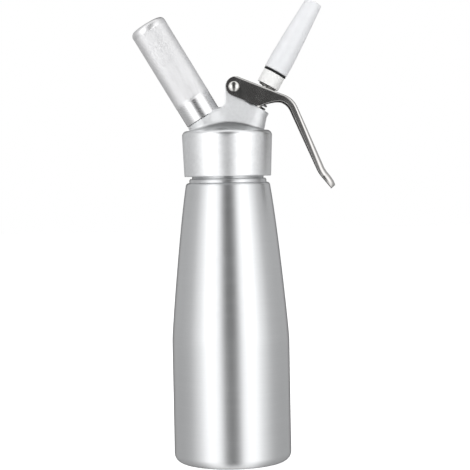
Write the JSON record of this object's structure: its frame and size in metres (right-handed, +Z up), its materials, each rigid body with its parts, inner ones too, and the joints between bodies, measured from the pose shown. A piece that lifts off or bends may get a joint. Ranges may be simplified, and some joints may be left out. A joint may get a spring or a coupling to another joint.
{
  "type": "whipped cream dispenser",
  "caption": "Aluminium cream whipper: a screw-topped bottle, a cast head with gas charger holder and squeeze lever valve, and a plastic decorating spout.",
  "frame": {"origin": "middle of the bottle's base, on the plane it stands on", "axes": "+Z up the bottle's axis, +X towards the lever and the spout, -Y towards the front that the picture shows"},
  "size_m": [0.1351, 0.0788, 0.3097],
  "materials": {
    "brushed_aluminium": "brushed",
    "cast_aluminium": "satin cast",
    "polished_steel": "polished",
    "spring_steel": "drawn wire",
    "charger_steel": "plated",
    "white_plastic": "smooth",
    "grey_plastic": "moulded",
    "black_rubber": "matte",
    "silicone": "matte"
  },
  "bodies": {
    "bottle": {"bottle": "brushed_aluminium"},
    "gasket": {"head_gasket": "silicone"},
    "head": {"head": "cast_aluminium", "inlet_stud": "polished_steel", "piercing_pin": "polished_steel", "charger_seal": "black_rubber", "check_valve": "silicone", "lever_pin": "polished_steel", "pin_cap": "polished_steel", "valve_guide": "white_plastic", "stem_o_ring": "black_rubber", "valve_spring": "spring_steel"},
    "lever": {"lever": "polished_steel"},
    "piston": {"piston": "polished_steel", "piston_seal": "black_rubber", "thrust_nut": "polished_steel", "tip_adapter": "polished_steel"},
    "tip_gasket": {"tip_gasket": "silicone"},
    "tip": {"tip_base": "brushed_aluminium", "tip_band": "black_rubber", "tip_spout": "white_plastic"},
    "charger": {"charger": "charger_steel"},
    "holder": {"charger_holder": "brushed_aluminium", "holder_liner": "grey_plastic"}
  },
  "joints": [
    {"name": "head_lift", "type": "slide", "parent": "bottle", "child": "gasket", "axis": [0, 0, 1], "range_m": [0, 0.01101]},
    {"name": "head_turn", "type": "hinge", "parent": "gasket", "child": "head", "pos_m": [0, 0, 0.2139], "axis": [0, 0, 1], "range_deg": [0, 990]},
    {"name": "lever_squeeze", "type": "hinge", "parent": "head", "child": "lever", "pos_m": [0.0052, 0, 0.2513], "axis": [0, 1, 0], "range_deg": [0, 8.5], "stiffness_Nm_per_rad": 0.6, "springref_deg": -11.46},
    {"name": "valve_travel", "type": "slide", "parent": "head", "child": "piston", "axis": [-0.5, 0, -0.866], "range_m": [0, 0.0024], "stiffness_N_per_m": 100, "springref_m": -0.006, "deforming": ["valve_spring"]},
    {"name": "tip_lift", "type": "slide", "parent": "piston", "child": "tip_gasket", "axis": [0.5, 0, 0.866], "range_m": [0, 0.00501]},
    {"name": "tip_turn", "type": "hinge", "parent": "tip_gasket", "child": "tip", "pos_m": [0.02648, 0, 0.24943], "axis": [0.5, 0, 0.866], "range_deg": [0, 900]},
    {"name": "charger_slide", "type": "slide", "parent": "head", "child": "charger", "axis": [-0.5075, 0, 0.8616], "range_m": [0, 0.00751]},
    {"name": "holder_turn", "type": "hinge", "parent": "charger", "child": "holder", "pos_m": [-0.0155, 0, 0.2311], "axis": [-0.5075, 0, 0.8616], "range_deg": [0, 1080]}
  ],
  "couplings": [
    {"joint": "head_lift", "follows": "head_turn", "m_per_rad": 0.00063662},
    {"joint": "lever_squeeze", "follows": "valve_travel", "rad_per_m": 61.8},
    {"joint": "tip_lift", "follows": "tip_turn", "m_per_rad": 0.00031831},
    {"joint": "charger_slide", "follows": "holder_turn", "m_per_rad": 0.00039789}
  ]
}
